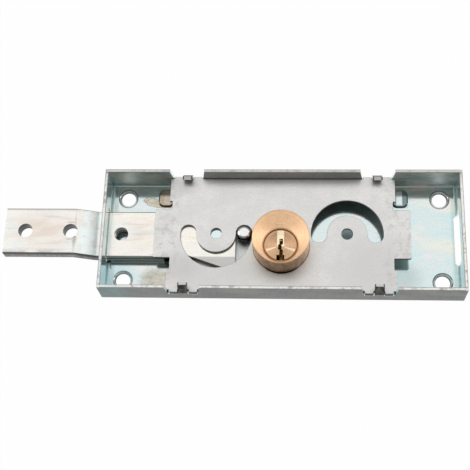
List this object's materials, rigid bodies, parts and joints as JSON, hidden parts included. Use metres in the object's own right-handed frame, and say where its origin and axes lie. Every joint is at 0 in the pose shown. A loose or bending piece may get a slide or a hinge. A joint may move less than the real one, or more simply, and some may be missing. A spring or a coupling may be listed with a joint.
{
  "type": "roller shutter lock",
  "caption": "Surface roller shutter lock: folded steel case, notched cover plate, round pin cylinder, and a joggled flat bar bolt thrown to one side by a crank wheel.",
  "frame": {"origin": "middle of the four fixing holes, on the back face of the case", "axes": "+X along the case, away from the side where the bolt leaves; +Z out of the key side of the cylinder; +Y across the case, away from the plug's side of the cylinder; bolt drawn in"},
  "size_m": [0.2176, 0.06, 0.0223],
  "materials": {
    "bright_zinc": "bright zinc plate with a faint blue and yellow cast",
    "dull_zinc": "blanked steel, dull zinc plate",
    "matt_cover": "matt galvanised sheet",
    "polished_steel": "bright turned steel",
    "satin_brass": "turned, satin",
    "pin_brass": "drawn wire, turned",
    "pin_steel": "hardened",
    "spring_steel": "spring wire and strip, oiled",
    "screw_steel": "zinc plated"
  },
  "bodies": {
    "housing": {"case": "bright_zinc", "cover_plate": "matt_cover", "cylinder_body": "satin_brass", "cylinder_screw": "screw_steel", "wheel_axle": "bright_zinc", "driver_pin_1": "pin_steel", "driver_pin_2": "pin_steel", "driver_pin_3": "pin_steel", "driver_pin_4": "pin_steel", "driver_pin_5": "pin_steel", "pin_spring_1": "spring_steel", "pin_spring_2": "spring_steel", "pin_spring_3": "spring_steel", "pin_spring_4": "spring_steel", "pin_spring_5": "spring_steel", "chamber_stopper_1": "pin_brass", "chamber_stopper_2": "pin_brass", "chamber_stopper_3": "pin_brass", "chamber_stopper_4": "pin_brass", "chamber_stopper_5": "pin_brass"},
    "plug": {"cylinder_plug": "satin_brass", "drive_pinion": "dull_zinc", "retaining_ring": "spring_steel", "key_pin_1": "pin_brass", "key_pin_2": "pin_brass", "key_pin_3": "pin_brass", "key_pin_4": "pin_brass", "key_pin_5": "pin_brass"},
    "crank": {"crank_wheel": "dull_zinc", "crank_pin": "polished_steel"},
    "bolt": {"bolt_bar": "bright_zinc"}
  },
  "joints": [
    {"name": "key_turn", "type": "hinge", "parent": "housing", "child": "plug", "pos_m": [0, -0.0105, 0.012], "axis": [0, 0, 1], "range_deg": [0, 360]},
    {"name": "crank_turn", "type": "hinge", "parent": "housing", "child": "crank", "pos_m": [-0.031, 0, 0.003], "axis": [0, 0, 1], "range_deg": [-180, 0]},
    {"name": "bolt_throw", "type": "slide", "parent": "housing", "child": "bolt", "axis": [-1, 0, 0], "range_m": [0, 0.02786]}
  ],
  "couplings": [
    {"joint": "key_turn", "follows": "bolt_throw", "rad_per_m": 225.52},
    {"joint": "crank_turn", "follows": "bolt_throw", "rad_per_m": -112.76}
  ]
}
